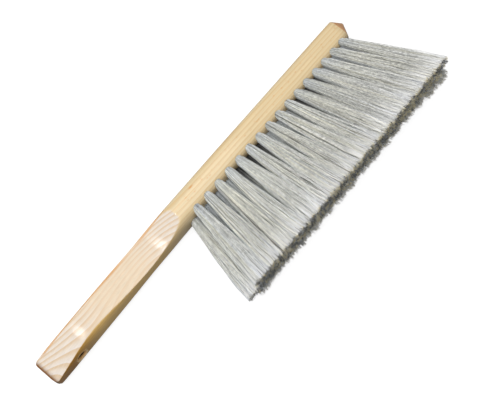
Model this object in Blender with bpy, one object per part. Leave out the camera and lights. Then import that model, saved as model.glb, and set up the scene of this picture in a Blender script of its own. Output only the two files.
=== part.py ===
"""Flour brush: a one-piece wooden bar, handle and block in one, with 48 folded bristle tufts.

The brush lies on its side, as it is laid down on a bench. X runs from the butt to the nose,
+Y is the back of the bar, the bristles point to -Y, and +Z is up. The origin is the middle of
the flat land on the block's lower side, which rests on the bench. Lengths are in metres.
"""
import math

import bmesh
import bpy
from mathutils import Vector

# Lengths along the bar
BAR_LENGTH = 0.3239
NOSE_LENGTH = 0.0061
NOSE_TIP_RISE = 0.0016
BUTT_DOME = 0.0018
BUTT_EDGE = 0.0012
GRIP_LENGTH = 0.1415
SCOOP_LENGTH = 0.0405
PALM_FROM_BUTT = 0.044
LAND_LENGTH = 0.0485

# Section of the bar: heights over and under its axis, half widths, and its roundness
BLOCK_HALF_HEIGHT = 0.0105
BACK_HEIGHT_NOSE = 0.0089
BELLY_HEIGHT_NOSE = 0.0098
BLOCK_HALF_WIDTH = 0.0123
NOSE_HALF_WIDTH = 0.0089
SECTION_FULLNESS = 3.2
SECTION_POINTS_PER_QUARTER = 6
SMOOTH_ANGLE = math.radians(30.0)

# The grip grows a little towards the butt, and droops to the belly side
GRIP_SWELL = 0.0007
GRIP_DROOP = 0.0026
GRIP_DROOP_CURVE = 1.2
GRIP_STEPS = 6

# Share of the dome's or nose's length, and share of the full section there
BUTT_PROFILE = ((1.0, 0.66), (0.75, 0.86), (0.15, 0.97))
NOSE_PROFILE = ((0.08, 0.96), (0.50, 0.56), (0.90, 0.18), (1.0, 0.08))

# Depths of the planed flats on both sides of the grip, and the curve of their run-out
FLAT_DEPTH_BUTT = 0.0079
FLAT_DEPTH_PALM = 0.0022
FLAT_DEPTH_NECK = 0.0067
SCOOP_CURVE = 1.8

# The guide that planes a flat leaves the wood by this rise, and reaches past it all round
FLAT_CUT_RISE = 0.0001
FLAT_CUT_OVERHANG = 0.004
FLAT_CUT_STEPS = 8

# Hang hole through the grip, from the back to the belly
HANG_HOLE_DIAMETER = 0.0082
HANG_HOLE_RIM = 0.0104
HANG_HOLE_FROM_BUTT = 0.0242
HANG_HOLE_SIDES = 16

# Drilled holes for the tufts
HOLE_DIAMETER = 0.0056
HOLE_DEPTH = 0.0085
HOLE_SIDES = 12
DRILL_OVERHANG = 0.0016
OUTER_HOLE_SPLAY = math.radians(2.0)
ROW_EDGE_DISTANCE = 0.0041
ROW_TUFTS = 16
FIRST_TUFT_FROM_GRIP = 0.0130
LAST_TUFT_FROM_END = 0.0064
CROWDING_SHARE = 0.088
MIDDLE_ROW_LEAD = 0.0013

# Bristle tufts
BRISTLE_LENGTH = 0.0706
FAN_ANGLE_HANDLE_END = math.radians(-10.0)
FAN_ANGLE_NOSE_END = math.radians(19.0)
TIP_ROW_SPACING = 0.01183
TUFT_STRANDS = 8
TIP_FILL_SHARE = 0.94
STRAND_ROOT_SHARE = 0.80
STRAND_TIP_SHARE = 0.90
ROOT_STAND_OUT = 0.0008
FIT_CLEARANCE = 0.0003
ANCHOR_THICKNESS = 0.0008
ANCHOR_DEPTH = 0.0012

# Linear colours and roughness of the two materials
WOOD_COLOUR = (0.80, 0.62, 0.38)
WOOD_ROUGHNESS = 0.35
BRISTLE_COLOUR = (0.50, 0.50, 0.46)
BRISTLE_ROUGHNESS = 0.55

# Sizes that follow from those above
NECK_FROM_BUTT = GRIP_LENGTH - SCOOP_LENGTH
WIDTH_TAPER_START = GRIP_LENGTH + LAND_LENGTH
LAND_MIDDLE_FROM_BUTT = GRIP_LENGTH + LAND_LENGTH / 2
FIRST_TUFT_FROM_BUTT = GRIP_LENGTH + FIRST_TUFT_FROM_GRIP
ROW_LENGTH = BAR_LENGTH - LAST_TUFT_FROM_END - FIRST_TUFT_FROM_BUTT
TRIM_HEIGHT = BLOCK_HALF_HEIGHT + BRISTLE_LENGTH
MIDDLE_PLANE = BLOCK_HALF_WIDTH


def smooth_step(share):
    """Rises smoothly from 0 to 1 as the share goes from 0 to 1."""
    share = min(max(share, 0.0), 1.0)
    return share * share * (3.0 - 2.0 * share)


def blend(start, end, share):
    """A value between two others."""
    return start + (end - start) * share


def along(station):
    """X of a place measured along the bar from its butt."""
    return station - LAND_MIDDLE_FROM_BUTT


def block_share(station, start):
    """How far a place is on its way from a taper's start to the nose end of the bar."""
    return min(max((station - start) / (BAR_LENGTH - start), 0.0), 1.0)


def grip_share(station):
    """How far a place on the grip is on its way from the block to the butt."""
    return min(max(1.0 - station / GRIP_LENGTH, 0.0), 1.0)


def side_height(station, height_nose, droop_sign):
    """Distance of the back or of the belly from the bar's axis."""
    block = blend(BLOCK_HALF_HEIGHT, height_nose, block_share(station, GRIP_LENGTH))
    share = grip_share(station)
    return block + GRIP_SWELL * share + droop_sign * GRIP_DROOP * share ** GRIP_DROOP_CURVE


def back_height(station):
    """Height of the back over the bar's axis."""
    return side_height(station, BACK_HEIGHT_NOSE, -1)


def belly_height(station):
    """Depth of the belly under the bar's axis."""
    return side_height(station, BELLY_HEIGHT_NOSE, 1)


def half_width(station):
    """Half width of the bar before its flats are planed."""
    return blend(BLOCK_HALF_WIDTH, NOSE_HALF_WIDTH, block_share(station, WIDTH_TAPER_START))


def section(station, scale):
    """Points round the bar at one place, as pairs of Y and height over the axis."""
    exponent = 2.0 / SECTION_FULLNESS
    count = SECTION_POINTS_PER_QUARTER
    first = math.pi / 4 / count
    largest = math.cos(first)
    points = []
    for index in range(4 * count):
        angle = first + index * 2 * first
        side = abs(math.cos(angle) / largest) ** exponent * math.copysign(1, math.cos(angle))
        rise = abs(math.sin(angle) / largest) ** exponent * math.copysign(1, math.sin(angle))
        height = back_height(station) if rise > 0 else belly_height(station)
        points.append((height * rise * scale, half_width(station) * side * scale))
    return points


def bar_stations():
    """Places along the bar, the share of the full section there, and how high its middle is."""
    butt = [(-BUTT_DOME * run, share, 0.0) for run, share in BUTT_PROFILE]
    butt.append((BUTT_EDGE, 1.0, 0.0))
    grip = [(GRIP_LENGTH * (step + 1) / GRIP_STEPS, 1.0, 0.0) for step in range(GRIP_STEPS)]
    block = [(WIDTH_TAPER_START, 1.0, 0.0), (BAR_LENGTH, 1.0, 0.0)]
    nose = [(BAR_LENGTH + NOSE_LENGTH * run, share, NOSE_TIP_RISE * (1.0 - share))
            for run, share in NOSE_PROFILE]
    return butt + grip + block + nose


def add_prism(mesh, rings):
    """Adds a closed skin over rings of points."""
    loops = [[mesh.verts.new(point) for point in ring] for ring in rings]
    for lower, upper in zip(loops, loops[1:]):
        for index in range(len(lower)):
            following = (index + 1) % len(lower)
            mesh.faces.new((lower[index], lower[following], upper[following], upper[index]))
    mesh.faces.new(list(reversed(loops[0])))
    mesh.faces.new(loops[-1])


def finish_mesh(name, mesh, material, smooth_angle=None):
    """Makes an object of the mesh, with its faces pointing out."""
    bmesh.ops.recalc_face_normals(mesh, faces=mesh.faces)
    data = bpy.data.meshes.new(name)
    mesh.to_mesh(data)
    mesh.free()
    piece = bpy.data.objects.new(name, data)
    bpy.context.scene.collection.objects.link(piece)
    if material is not None:
        data.materials.append(material)
    if smooth_angle is not None:
        data.shade_smooth()
        data.set_sharp_from_angle(angle=smooth_angle)
    return piece


def make_material(name, colour, roughness):
    """A plain Principled material."""
    material = bpy.data.materials.new(name)
    material.use_nodes = True
    shader = material.node_tree.nodes["Principled BSDF"]
    shader.inputs["Base Color"].default_value = (*colour, 1.0)
    shader.inputs["Roughness"].default_value = roughness
    shader.inputs["Metallic"].default_value = 0.0
    return material


def make_cutter(name, mesh):
    """A guide object that only cuts another one."""
    cutter = finish_mesh(name, mesh, None)
    cutter.hide_render = True
    cutter.display_type = "WIRE"
    return cutter


def cut_with(piece, cutter):
    """Cuts a piece with a guide."""
    modifier = piece.modifiers.new(cutter.name, "BOOLEAN")
    modifier.operation = "DIFFERENCE"
    modifier.object = cutter


def flat_depth(station):
    """Depth of the planed flats, from the butt to the end of the scoop."""
    if station < PALM_FROM_BUTT:
        share = 1.0 - station / PALM_FROM_BUTT
        return blend(FLAT_DEPTH_PALM, FLAT_DEPTH_BUTT, share * share)
    if station < NECK_FROM_BUTT:
        share = smooth_step((station - PALM_FROM_BUTT) / (NECK_FROM_BUTT - PALM_FROM_BUTT))
        return blend(FLAT_DEPTH_PALM, FLAT_DEPTH_NECK, share)
    share = (station - NECK_FROM_BUTT) / SCOOP_LENGTH
    return blend(FLAT_DEPTH_NECK, -FLAT_CUT_RISE, share ** SCOOP_CURVE)


def flat_cutter(name, side):
    """Guide that planes one side of the grip, with a scooped run-out at the block."""
    steps = FLAT_CUT_STEPS
    stations = [blend(GRIP_LENGTH, NECK_FROM_BUTT, index / steps) for index in range(steps)]
    stations += [blend(NECK_FROM_BUTT, PALM_FROM_BUTT, index / steps) for index in range(steps)]
    stations += [blend(PALM_FROM_BUTT, 0.0, index / steps) for index in range(steps + 1)]
    stations.append(-BUTT_DOME - FLAT_CUT_OVERHANG)
    outer = BLOCK_HALF_WIDTH + FLAT_CUT_OVERHANG
    profile = [(station, BLOCK_HALF_WIDTH - flat_depth(max(station, 0.0))) for station in stations]
    profile += [(stations[-1], outer), (stations[0] + FLAT_CUT_OVERHANG, outer)]
    reach = belly_height(0.0) + FLAT_CUT_OVERHANG
    rings = []
    for level in (-reach, reach):
        rings.append([Vector((along(station), level, MIDDLE_PLANE + side * width))
                      for station, width in profile])
    mesh = bmesh.new()
    add_prism(mesh, rings)
    return make_cutter(name, mesh)


def hang_hole_cutter():
    """Guide for the hang hole, with a chamfered rim on the back and on the belly."""
    radius = HANG_HOLE_DIAMETER / 2
    rim = HANG_HOLE_RIM / 2
    chamfer = rim - radius
    top = back_height(HANG_HOLE_FROM_BUTT)
    bottom = -belly_height(HANG_HOLE_FROM_BUTT)
    levels = [(bottom - chamfer, rim + chamfer), (bottom + chamfer, radius),
              (top - chamfer, radius), (top + chamfer, rim + chamfer)]
    rings = []
    for level, size in levels:
        ring = []
        for index in range(HANG_HOLE_SIDES):
            angle = 2 * math.pi * (index + 0.5) / HANG_HOLE_SIDES
            ring.append(Vector((along(HANG_HOLE_FROM_BUTT) + size * math.cos(angle), level,
                                MIDDLE_PLANE + size * math.sin(angle))))
        rings.append(ring)
    mesh = bmesh.new()
    add_prism(mesh, rings)
    return make_cutter("hang_hole_guide", mesh)


def tuft_station(index):
    """Place of a hole along the bar; a half count lies midway between two outer holes."""
    share = index / (ROW_TUFTS - 1)
    return FIRST_TUFT_FROM_BUTT + ROW_LENGTH * share * (1 + CROWDING_SHARE * (1 - share))


def fan_angle(station):
    """Lean of a tuft along the bar, from the handle end to the nose end."""
    first = tuft_station(-0.5) - MIDDLE_ROW_LEAD
    last = tuft_station(ROW_TUFTS - 1)
    share = (station - first) / (last - first)
    return blend(FAN_ANGLE_HANDLE_END, FAN_ANGLE_NOSE_END, share)


def trimmed_length(station):
    """Length of bristle from the belly to the trimmed face."""
    return TRIM_HEIGHT - belly_height(station)


def tip_place(station):
    """Where the middle of a tuft's tip lies along X."""
    return along(station) + trimmed_length(station) * math.tan(fan_angle(station))


def row_offset(station):
    """Distance of the outer rows of holes from the bar's middle plane."""
    return half_width(station) - ROW_EDGE_DISTANCE


def row_indices(row):
    """Counts along a row: the middle row lies half a step nearer to the handle."""
    first = -0.5 if row == 0 else 0.0
    return [first + index for index in range(ROW_TUFTS)]


def hole_station(row, index):
    """Place of a hole along the bar; the middle row's first one has a lead to the handle."""
    station = tuft_station(index)
    if row == 0 and index < 0:
        station -= MIDDLE_ROW_LEAD
    return station


def belly_level(station, offset):
    """Y of the belly's surface at some distance from the middle plane."""
    share = min(abs(offset) / half_width(station), 1.0)
    drop = (1.0 - share ** SECTION_FULLNESS) ** (1.0 / SECTION_FULLNESS)
    return -belly_height(station) * drop


def mouth_centre(row, station):
    """Middle of a hole's mouth on the belly."""
    offset = row * row_offset(station)
    return Vector((along(station), belly_level(station, offset), MIDDLE_PLANE + offset))


def drill_slope(row, station):
    """Change of X and Z for each metre that a hole runs out of the bar."""
    return math.tan(fan_angle(station)), row * math.tan(OUTER_HOLE_SPLAY)


def drilled_ring(centre, slope, level, radius, sides):
    """A ring of points round a hole's line at one level of Y."""
    run = centre.y - level
    middle_x = centre.x + slope[0] * run
    middle_z = centre.z + slope[1] * run
    ring = []
    for index in range(sides):
        angle = 2 * math.pi * (index + 0.5) / sides
        ring.append(Vector((middle_x + radius * math.cos(angle), level,
                            middle_z + radius * math.sin(angle))))
    return ring


def tuft_hole_cutter():
    """Guide with every drilled hole, each slanted with its tuft."""
    mesh = bmesh.new()
    for row in (-1, 0, 1):
        for index in row_indices(row):
            station = hole_station(row, index)
            centre = mouth_centre(row, station)
            slope = drill_slope(row, station)
            floor = hole_floor(station)
            outside = -belly_height(station) - DRILL_OVERHANG
            rings = [drilled_ring(centre, slope, level, HOLE_DIAMETER / 2, HOLE_SIDES)
                     for level in (outside, floor)]
            add_prism(mesh, rings)
    return make_cutter("tuft_hole_guide", mesh)


def hole_floor(station):
    """Y of the bottom of a drilled hole."""
    return -belly_height(station) + HOLE_DEPTH


def make_handle_block(material):
    """The wooden bar with its flats, its hang hole and its tuft holes."""
    rings = []
    for station, scale, rise in bar_stations():
        ring = [Vector((along(station), level + rise, MIDDLE_PLANE + width))
                for level, width in section(station, scale)]
        rings.append(ring)
    mesh = bmesh.new()
    add_prism(mesh, rings)
    bar = finish_mesh("handle_block", mesh, material, SMOOTH_ANGLE)
    for cutter in (flat_cutter("upper_flat_guide", 1), flat_cutter("lower_flat_guide", -1),
                   hang_hole_cutter(), tuft_hole_cutter()):
        cut_with(bar, cutter)
    return bar


def tip_half_length(row, index):
    """Half of the room that a tuft's tip has along the row."""
    indices = row_indices(row)
    rank = indices.index(index)
    near = tip_place(hole_station(row, index))
    gaps = [abs(tip_place(hole_station(row, indices[other])) - near)
            for other in (rank - 1, rank + 1) if 0 <= other < len(indices)]
    return min(gaps) / 2 * TIP_FILL_SHARE


def tip_ring(row, index):
    """Corners of a tuft's trimmed end, with a flat side to the bench."""
    station = hole_station(row, index)
    flat = math.cos(math.pi / TUFT_STRANDS)
    half_length = tip_half_length(row, index) / flat
    half_depth = TIP_ROW_SPACING / 2 / flat
    # The three rows of tips lie on each other, and the far row's on the bench.
    centre_z = TIP_ROW_SPACING * (row + 1.5)
    ring = []
    for corner in range(TUFT_STRANDS):
        angle = 2 * math.pi * (corner + 0.5) / TUFT_STRANDS
        ring.append(Vector((tip_place(station) + half_length * math.cos(angle), -TRIM_HEIGHT,
                            centre_z + half_depth * math.sin(angle))))
    return ring


def shrink_to_middle(corners, share, keep_flat):
    """Draws three corners in to their middle; the height may stay for a resting edge."""
    middle = sum(corners, Vector()) / len(corners)
    drawn = [middle + (corner - middle) * share for corner in corners]
    if keep_flat:
        lowest = min(corner.z for corner in corners)
        drawn_lowest = min(corner.z for corner in drawn)
        drawn = [corner + Vector((0.0, 0.0, lowest - drawn_lowest)) for corner in drawn]
    return drawn


def add_anchor(mesh, corners, level):
    """Closes the folded root with the flat wire that is driven in across it."""
    half = TUFT_STRANDS // 2
    upper = [corners[index] for index in range(half)]
    lower = [corners[index] for index in range(half, TUFT_STRANDS)]
    mesh.faces.new(list(reversed(upper)))
    mesh.faces.new(list(reversed(lower)))
    strip = (upper[0], upper[-1], lower[0], lower[-1])
    wire = []
    for corner, towards in zip(strip, (1, 1, -1, -1)):
        middle_z = sum(point.co.z for point in strip) / len(strip)
        place = Vector((corner.co.x, level + ANCHOR_DEPTH, middle_z + towards * ANCHOR_THICKNESS / 2))
        wire.append(mesh.verts.new(place))
    for index in range(len(strip)):
        following = (index + 1) % len(strip)
        mesh.faces.new((strip[following], strip[index], wire[index], wire[following]))
    mesh.faces.new(wire)


def make_tuft(name, row, index, material):
    """One folded tuft: its root in the hole, its anchor and its strands out to the trim."""
    station = hole_station(row, index)
    centre = mouth_centre(row, station)
    slope = drill_slope(row, station)
    radius = HOLE_DIAMETER / 2 * math.cos(math.pi / HOLE_SIDES) - FIT_CLEARANCE
    floor = hole_floor(station) - FIT_CLEARANCE - ANCHOR_DEPTH
    mouth = centre.y - ROOT_STAND_OUT
    mesh = bmesh.new()
    bottom = [mesh.verts.new(point)
              for point in drilled_ring(centre, slope, floor, radius, TUFT_STRANDS)]
    top = [mesh.verts.new(point)
           for point in drilled_ring(centre, slope, mouth, radius, TUFT_STRANDS)]
    hub = mesh.verts.new(sum((corner.co for corner in top), Vector()) / TUFT_STRANDS)
    tips = tip_ring(row, index)
    tip_hub = sum(tips, Vector()) / TUFT_STRANDS
    for corner in range(TUFT_STRANDS):
        following = (corner + 1) % TUFT_STRANDS
        mesh.faces.new((bottom[corner], bottom[following], top[following], top[corner]))
        wedge = (hub, top[corner], top[following])
        roots = shrink_to_middle([point.co for point in wedge], STRAND_ROOT_SHARE, False)
        ends = shrink_to_middle([tip_hub, tips[corner], tips[following]], STRAND_TIP_SHARE, row < 0)
        add_strand(mesh, wedge, roots, ends)
    add_anchor(mesh, bottom, floor)
    return finish_mesh(name, mesh, material)


def add_strand(mesh, wedge, roots, ends):
    """Raises one three-sided strand out of its wedge of the root."""
    root_points = [mesh.verts.new(point) for point in roots]
    end_points = [mesh.verts.new(point) for point in ends]
    for index in range(len(wedge)):
        following = (index + 1) % len(wedge)
        mesh.faces.new((wedge[index], wedge[following], root_points[following], root_points[index]))
        mesh.faces.new((root_points[index], root_points[following],
                        end_points[following], end_points[index]))
    mesh.faces.new(end_points)


def main():
    """Builds the bar and its three rows of tufts."""
    for leftover in list(bpy.data.objects):
        bpy.data.objects.remove(leftover, do_unlink=True)
    wood = make_material("lacquered_wood", WOOD_COLOUR, WOOD_ROUGHNESS)
    bristle = make_material("grey_bristle", BRISTLE_COLOUR, BRISTLE_ROUGHNESS)
    make_handle_block(wood)
    for row_name, row in (("near", 1), ("middle", 0), ("far", -1)):
        for count, index in enumerate(row_indices(row), start=1):
            make_tuft(f"tuft_{row_name}_{count:02d}", row, index, bristle)


main()
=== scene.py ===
"""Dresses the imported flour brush: a lacquered softwood bar with 48 tufts of grey bristle."""
import logging
import math
from dataclasses import dataclass
from enum import Enum
from typing import Any, Callable, Sequence

import bmesh
import bpy
import numpy as np
from mathutils import Matrix, Vector


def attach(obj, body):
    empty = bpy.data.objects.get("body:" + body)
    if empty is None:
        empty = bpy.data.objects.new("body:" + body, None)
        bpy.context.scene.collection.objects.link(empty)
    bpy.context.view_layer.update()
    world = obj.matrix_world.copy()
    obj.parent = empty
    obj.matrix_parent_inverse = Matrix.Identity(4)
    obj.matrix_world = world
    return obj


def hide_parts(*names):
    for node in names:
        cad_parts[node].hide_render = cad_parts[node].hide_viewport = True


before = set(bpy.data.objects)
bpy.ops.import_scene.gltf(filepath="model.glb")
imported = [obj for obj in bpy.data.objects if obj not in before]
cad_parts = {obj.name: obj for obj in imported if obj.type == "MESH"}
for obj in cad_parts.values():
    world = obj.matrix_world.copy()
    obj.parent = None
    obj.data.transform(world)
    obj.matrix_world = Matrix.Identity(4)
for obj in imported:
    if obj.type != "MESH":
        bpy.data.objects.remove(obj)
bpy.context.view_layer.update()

LOG = logging.getLogger("flour_brush")
BODY = "root"
MM = 0.001


def linear(hex_code: str) -> tuple[float, float, float, float]:
    """Turns an sRGB hex colour to linear light.

    Args:
        hex_code: Six hexadecimal digits, with or without the leading mark.

    Returns:
        Red, green, blue and an alpha of 1.
    """
    digits = hex_code.lstrip("#")
    channels = [int(digits[place:place + 2], 16) / 255 for place in (0, 2, 4)]
    light = [value / 12.92 if value <= 0.04045 else ((value + 0.055) / 1.055) ** 2.4
             for value in channels]
    return light[0], light[1], light[2], 1.0


def add_node(tree: bpy.types.NodeTree, kind: str, links: dict[Any, Any] | None = None,
             **settings: Any) -> bpy.types.Node:
    """Adds a shader node, sets it up and links its inputs.

    Args:
        tree: The material's node tree.
        kind: The node's type name.
        links: Input name or number, and either an output socket or a plain value.
        settings: Properties of the node itself.

    Returns:
        The new node.
    """
    node = tree.nodes.new(kind)
    for name, value in settings.items():
        setattr(node, name, value)
    for name, value in (links or {}).items():
        socket = node.inputs[name]
        if isinstance(value, bpy.types.NodeSocket):
            tree.links.new(value, socket)
        else:
            socket.default_value = value
    return node


def set_ramp(node: bpy.types.Node, stops: Sequence[tuple[float, str]]) -> None:
    """Gives a colour ramp its stops.

    Args:
        node: A Color Ramp node.
        stops: Place from 0 to 1 and sRGB hex colour of each stop.
    """
    elements = node.color_ramp.elements
    while len(elements) > 1:
        elements.remove(elements[-1])
    elements[0].position, elements[0].color = stops[0][0], linear(stops[0][1])
    for place, colour in stops[1:]:
        elements.new(place).color = linear(colour)


def make_active(piece: bpy.types.Object) -> None:
    """Selects one object alone, in object mode."""
    if bpy.context.mode != "OBJECT":
        bpy.ops.object.mode_set(mode="OBJECT")
    bpy.ops.object.select_all(action="DESELECT")
    piece.select_set(True)
    bpy.context.view_layer.objects.active = piece


def new_primitive(adder: Callable[..., Any], name: str, **sizes: Any) -> bpy.types.Object:
    """Adds a primitive with nothing else selected.

    Args:
        adder: The operator that adds it.
        name: Name of the new object.
        sizes: Sizes and place, as the operator takes them.

    Returns:
        The new object, active, in object mode.
    """
    bpy.ops.object.select_all(action="DESELECT")
    adder(**sizes)
    piece = bpy.context.active_object
    piece.name = name
    piece.data.name = name
    return piece


def pick_edges(piece: bpy.types.Object, rule: Callable[[bmesh.types.BMEdge], bool]) -> None:
    """Selects edges in edit mode, by their place.

    Args:
        piece: The object in edit mode.
        rule: Says of an edge whether it is selected.
    """
    bpy.ops.mesh.select_mode(type="EDGE")
    bpy.ops.mesh.select_all(action="DESELECT")
    mesh = bmesh.from_edit_mesh(piece.data)
    for edge in mesh.edges:
        edge.select_set(rule(edge))
    bmesh.update_edit_mesh(piece.data)


def pick_points(piece: bpy.types.Object, rule: Callable[[Vector], bool]) -> None:
    """Selects points in edit mode, by their place.

    Args:
        piece: The object in edit mode.
        rule: Says of a place whether its point is selected.
    """
    bpy.ops.mesh.select_mode(type="VERT")
    bpy.ops.mesh.select_all(action="DESELECT")
    mesh = bmesh.from_edit_mesh(piece.data)
    for point in mesh.verts:
        point.select_set(rule(point.co))
    mesh.select_flush_mode()
    bmesh.update_edit_mesh(piece.data)


def settle(piece: bpy.types.Object) -> None:
    """Puts an object's place, turn and size into its mesh."""
    make_active(piece)
    bpy.ops.object.transform_apply(location=True, rotation=True, scale=True)


def carve(piece: bpy.types.Object, cutter: bpy.types.Object) -> None:
    """Cuts a piece with another object, which is then removed.

    Args:
        piece: What is cut.
        cutter: What it is cut with.
    """
    modifier = piece.modifiers.new("carve", "BOOLEAN")
    modifier.operation = "DIFFERENCE"
    modifier.solver = "EXACT"
    modifier.object = cutter
    make_active(piece)
    bpy.ops.object.modifier_apply(modifier=modifier.name)
    bpy.data.objects.remove(cutter, do_unlink=True)


def read_points(piece: bpy.types.Object) -> np.ndarray:
    """The places of a mesh's points, one in each line."""
    points = np.empty(len(piece.data.vertices) * 3)
    piece.data.vertices.foreach_get("co", points)
    return points.reshape(-1, 3)


def smooth_step(share: np.ndarray | float) -> np.ndarray | float:
    """Rises smoothly from 0 to 1 as the share goes from 0 to 1."""
    share = np.clip(share, 0.0, 1.0)
    return share * share * (3.0 - 2.0 * share)


def blend(start: Any, end: Any, share: Any) -> Any:
    """A value between two others."""
    return start + (end - start) * share


@dataclass(frozen=True)
class LacqueredPine:
    """Slow-grown pine, turned and planed, under a thin coat of clear lacquer.

    The eye sees wide pale rings with thin tan late wood, silky fibre streaks, small amber flecks
    and a soft gloss over all of it. End grain has drunk the lacquer and is darker, and dull at the
    butt. Painted shade darkens the butt further, the grip's belly, the back edge and the depth of
    the hang hole, and painted light brightens the hang hole's wall. Runs are a start and an end in
    metres, levels a lowest and a highest share of the colour.
    """

    name: str = "clear_lacquered_pine"
    early_wood: str = "#EEDDD2"
    middle_wood: str = "#ECD7C5"
    late_wood: str = "#E1C09D"
    mean_wood: str = "#F1DED0"
    turned_contrast: float = 0.50
    waist_contrast: float = 0.35
    faint_ring_run: tuple[float, float] = (12 * MM, 40 * MM)
    turned_tint: str = "#FFFAD6"
    planed_tint: str = "#FCF9E6"
    pale_tint: str = "#F7FDFD"
    pale_run: tuple[float, float] = (15 * MM, 50 * MM)
    # Painted warm shade on the grip's belly, darkest towards the butt.
    belly_shade_tint: str = "#FDEBBA"
    belly_share: float = 0.22
    butt_shade_tint: str = "#B88F26"
    # Painted shade along the bar's back edge, where its surface turns away from the light.
    back_edge_shade: str = "#DDA468"
    nose_grain: str = "#EAAE77"
    # End grain at the butt, darkened further with painted shade.
    butt_grain_shade: str = "#7C4C08"
    # The hang hole's wall, raw wood brightened with painted light, and painted shadow deeper in.
    bore_lit_wall: str = "#FFC880"
    bore_shadow: str = "#3A220E"
    waist_from_origin: float = 88 * MM
    ring_spacing: float = 2.0 * MM
    ring_wobble: float = 2.2
    ring_wobble_scale: float = 0.10
    pith_y: float = -21.4 * MM
    pith_z: float = -5.9 * MM
    pith_drift: float = math.radians(2.77)
    streak_length: float = 90 * MM
    streak_width: float = 1.2 * MM
    streak_levels: tuple[float, float] = (0.955, 1.035)
    fibre_length: float = 26 * MM
    fibre_width: float = 0.45 * MM
    fibre_levels: tuple[float, float] = (0.95, 1.04)
    noise_reach: tuple[float, float] = (0.3, 0.7)
    fleck: str = "#DE9A50"
    fleck_length: float = 3.4 * MM
    fleck_width: float = 1.7 * MM
    fleck_edge: tuple[float, float] = (0.10, 0.32)
    fleck_strength: float = 0.6
    fleck_cells: float = 0.5
    fleck_band: tuple[float, float] = (1.6 * MM, 4.0 * MM)
    flecks_off_band: float = 0.08
    flecks_on_flats: float = 0.12
    resin_mark: tuple[float, float, float] = (-0.0028, 0.0038, 0.0243)
    resin_mark_size: tuple[float, float, float] = (2.6 * MM, 0.8 * MM, 2.0 * MM)
    resin_mark_edge: tuple[float, float] = (0.4, 1.1)
    resin_mark_strength: float = 0.8
    relief_height: float = 0.05 * MM
    relief_strength: float = 0.25
    roughness: float = 0.42
    coat: float = 0.5
    coat_roughness: float = 0.08

    def make(self) -> bpy.types.Material:
        """Builds the material.

        Returns:
            A Principled material that reads object coordinates and the handle block's marks.
        """
        material = bpy.data.materials.new(self.name)
        material.use_nodes = True
        tree = material.node_tree
        shader = tree.nodes["Principled BSDF"]
        place = add_node(tree, "ShaderNodeTexCoord").outputs["Object"]
        rings = self._rings(tree, place)
        streaked = self._streaks(tree, place, rings)
        tinted = self._tints(tree, place, streaked)
        flecked = self._flecks(tree, place, tinted)
        colour = self._end_grain(tree, flecked)
        tree.links.new(colour, shader.inputs["Base Color"])
        self._relief(tree, place, shader)
        shader.inputs["Roughness"].default_value = self.roughness
        shader.inputs["IOR"].default_value = 1.3
        # The butt's end grain shows no coat, so it is dull.
        butt = add_node(tree, "ShaderNodeAttribute", attribute_name="butt_grain_shade")
        drunk = add_node(tree, "ShaderNodeMapRange", {
            "Value": butt.outputs["Fac"], "To Min": self.coat, "To Max": 0.0})
        tree.links.new(drunk.outputs["Result"], shader.inputs["Coat Weight"])
        shader.inputs["Coat Roughness"].default_value = self.coat_roughness
        shader.inputs["Coat IOR"].default_value = 1.5
        return material

    def _from_waist(self, tree: bpy.types.NodeTree,
                    place: bpy.types.NodeSocket) -> bpy.types.NodeSocket:
        """Distance along the bar from the middle of the grip.

        Args:
            tree: The material's node tree.
            place: Object coordinates.

        Returns:
            The distance in metres.
        """
        parts = add_node(tree, "ShaderNodeSeparateXYZ", {"Vector": place})
        from_waist = add_node(tree, "ShaderNodeMath", {
            0: parts.outputs["X"], 1: self.waist_from_origin}, operation="ADD")
        away = add_node(tree, "ShaderNodeMath", {0: from_waist.outputs["Value"]},
                        operation="ABSOLUTE")
        return away.outputs["Value"]

    def _rings(self, tree: bpy.types.NodeTree, place: bpy.types.NodeSocket) -> bpy.types.NodeSocket:
        """Year rings round a pith that lies outside the bar, with painted shade along the back
        edge.

        Args:
            tree: The material's node tree.
            place: Object coordinates.

        Returns:
            The colour of the rings.
        """
        about_pith = add_node(tree, "ShaderNodeMapping", {
            "Vector": place, "Location": (0.0, -self.pith_y, -self.pith_z),
            "Rotation": (0.0, 0.0, self.pith_drift)})
        # A wave's period is 2 pi / 20 of its scale, so this gives the ring spacing in metres.
        wave = add_node(tree, "ShaderNodeTexWave", {
            "Vector": about_pith.outputs["Vector"], "Scale": math.tau / 20 / self.ring_spacing,
            "Distortion": self.ring_wobble, "Detail": 2.0, "Detail Scale": self.ring_wobble_scale,
            "Detail Roughness": 0.55},
            wave_type="RINGS", rings_direction="X", wave_profile="SAW")
        ramp = add_node(tree, "ShaderNodeValToRGB", {"Fac": wave.outputs["Fac"]})
        set_ramp(ramp, ((0.0, self.early_wood), (0.45, self.middle_wood),
                        (0.80, self.late_wood), (0.95, self.late_wood), (1.0, self.early_wood)))
        planed = add_node(tree, "ShaderNodeAttribute", attribute_name="planed")
        # The rings are faint where the waist lies along them and where the lathe crossed them.
        away = self._from_waist(tree, place)
        waist = add_node(tree, "ShaderNodeMapRange", {
            "Value": away, "From Min": self.faint_ring_run[0], "From Max": self.faint_ring_run[1],
            "To Min": self.waist_contrast, "To Max": 1.0})
        contrast = add_node(tree, "ShaderNodeMapRange", {
            "Value": planed.outputs["Fac"], "To Min": self.turned_contrast,
            "To Max": waist.outputs["Result"]})
        mixed = add_node(tree, "ShaderNodeMix", {
            "Factor": contrast.outputs["Result"], 6: linear(self.mean_wood),
            7: ramp.outputs["Color"]}, data_type="RGBA")
        # Painted shade along the back edge, laid over the rings.
        back = add_node(tree, "ShaderNodeAttribute", attribute_name="back_edge_shade")
        edged = add_node(tree, "ShaderNodeMix", {
            "Factor": back.outputs["Fac"], 6: mixed.outputs[2], 7: linear(self.back_edge_shade)},
            data_type="RGBA")
        return edged.outputs[2]

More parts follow.
